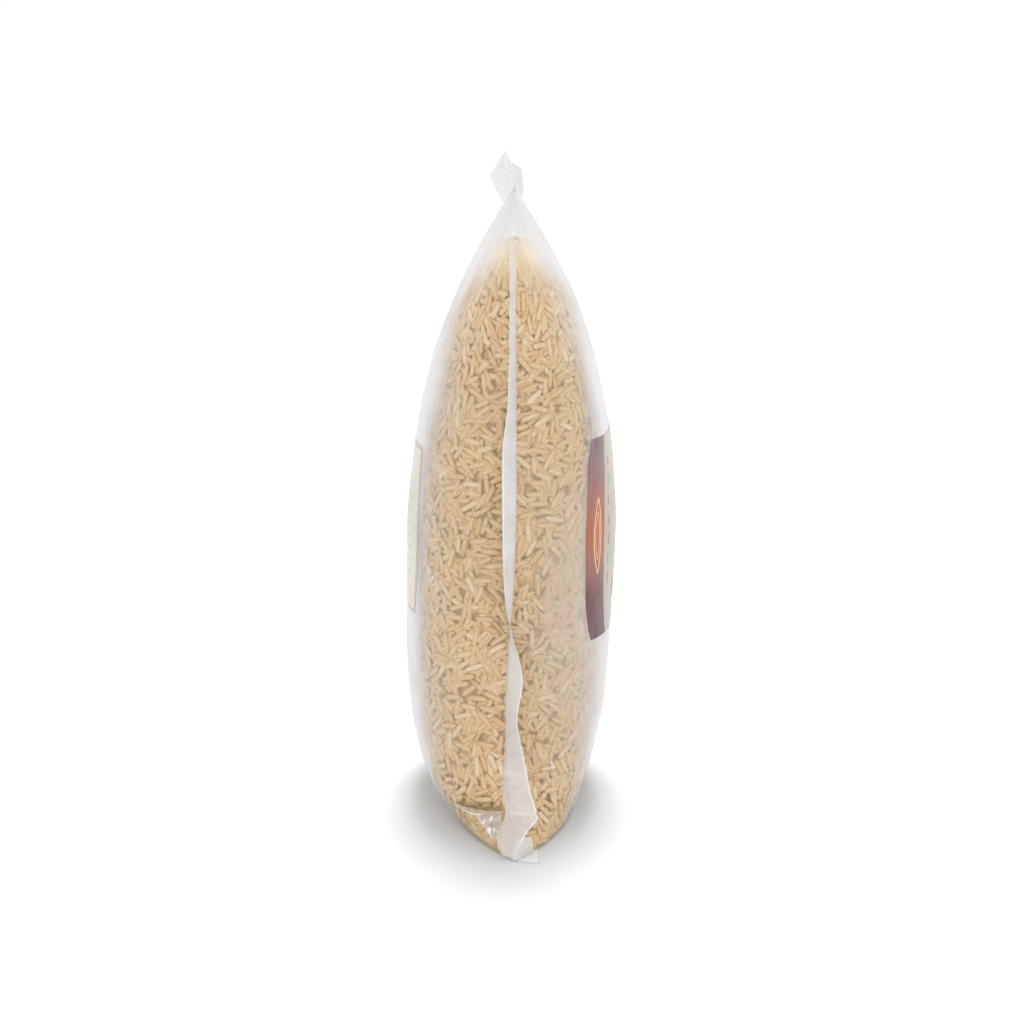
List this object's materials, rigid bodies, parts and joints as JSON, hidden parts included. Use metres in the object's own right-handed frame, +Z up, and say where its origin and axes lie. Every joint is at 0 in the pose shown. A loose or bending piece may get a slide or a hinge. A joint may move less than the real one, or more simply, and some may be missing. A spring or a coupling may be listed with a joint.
{
  "type": "pouch of rice",
  "caption": "Upright clear pillow pouch filled with long-grain rice, flat sealed along both sides and the top, resting on its folded bottom seal.",
  "frame": {"origin": "middle of the base, on the floor", "axes": "+Z up, +X out of the printed front panel, -Y out of the narrow side that the picture shows"},
  "size_m": [0.0708, 0.1682, 0.2161],
  "materials": {
    "film": "milky translucent film with a soft gloss, rice showing through",
    "rice": "dry golden long grains",
    "print": "ink on the inside of glossy film"
  },
  "bodies": {
    "root": {"bag": "film"}
  },
  "joints": []
}
